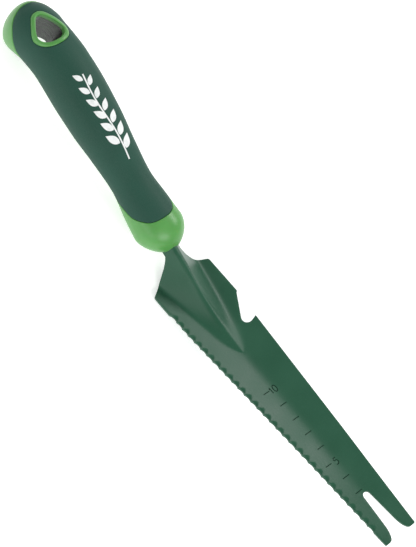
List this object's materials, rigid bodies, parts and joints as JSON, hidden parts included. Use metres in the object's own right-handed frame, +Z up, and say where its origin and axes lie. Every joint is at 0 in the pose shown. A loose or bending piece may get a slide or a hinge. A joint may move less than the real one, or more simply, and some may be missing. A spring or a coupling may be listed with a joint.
{
  "type": "hand trowel",
  "caption": "Multi-purpose hand trowel: narrow dished steel blade with saw edge, twine notch and forked tip, cranked soft-grip handle with a hang hole.",
  "frame": {"origin": "on the bench, under the middle of the whole tool, which lies hollow side up on the blade's heel and the handle's butt", "axes": "+X from the butt towards the forked tip, +Y towards the notched edge, +Z up"},
  "size_m": [0.3378, 0.0396, 0.0593],
  "materials": {
    "powder_coated_steel": "satin",
    "light_green_plastic": "satin",
    "dark_green_soft_grip": "matte",
    "grey_sleeve": "satin",
    "white_print": "matte",
    "graduation_marks": "matte"
  },
  "bodies": {
    "root": {"blade": "powder_coated_steel", "handle_core": "light_green_plastic", "soft_grip": "dark_green_soft_grip", "hang_sleeve": "grey_sleeve"}
  },
  "joints": []
}
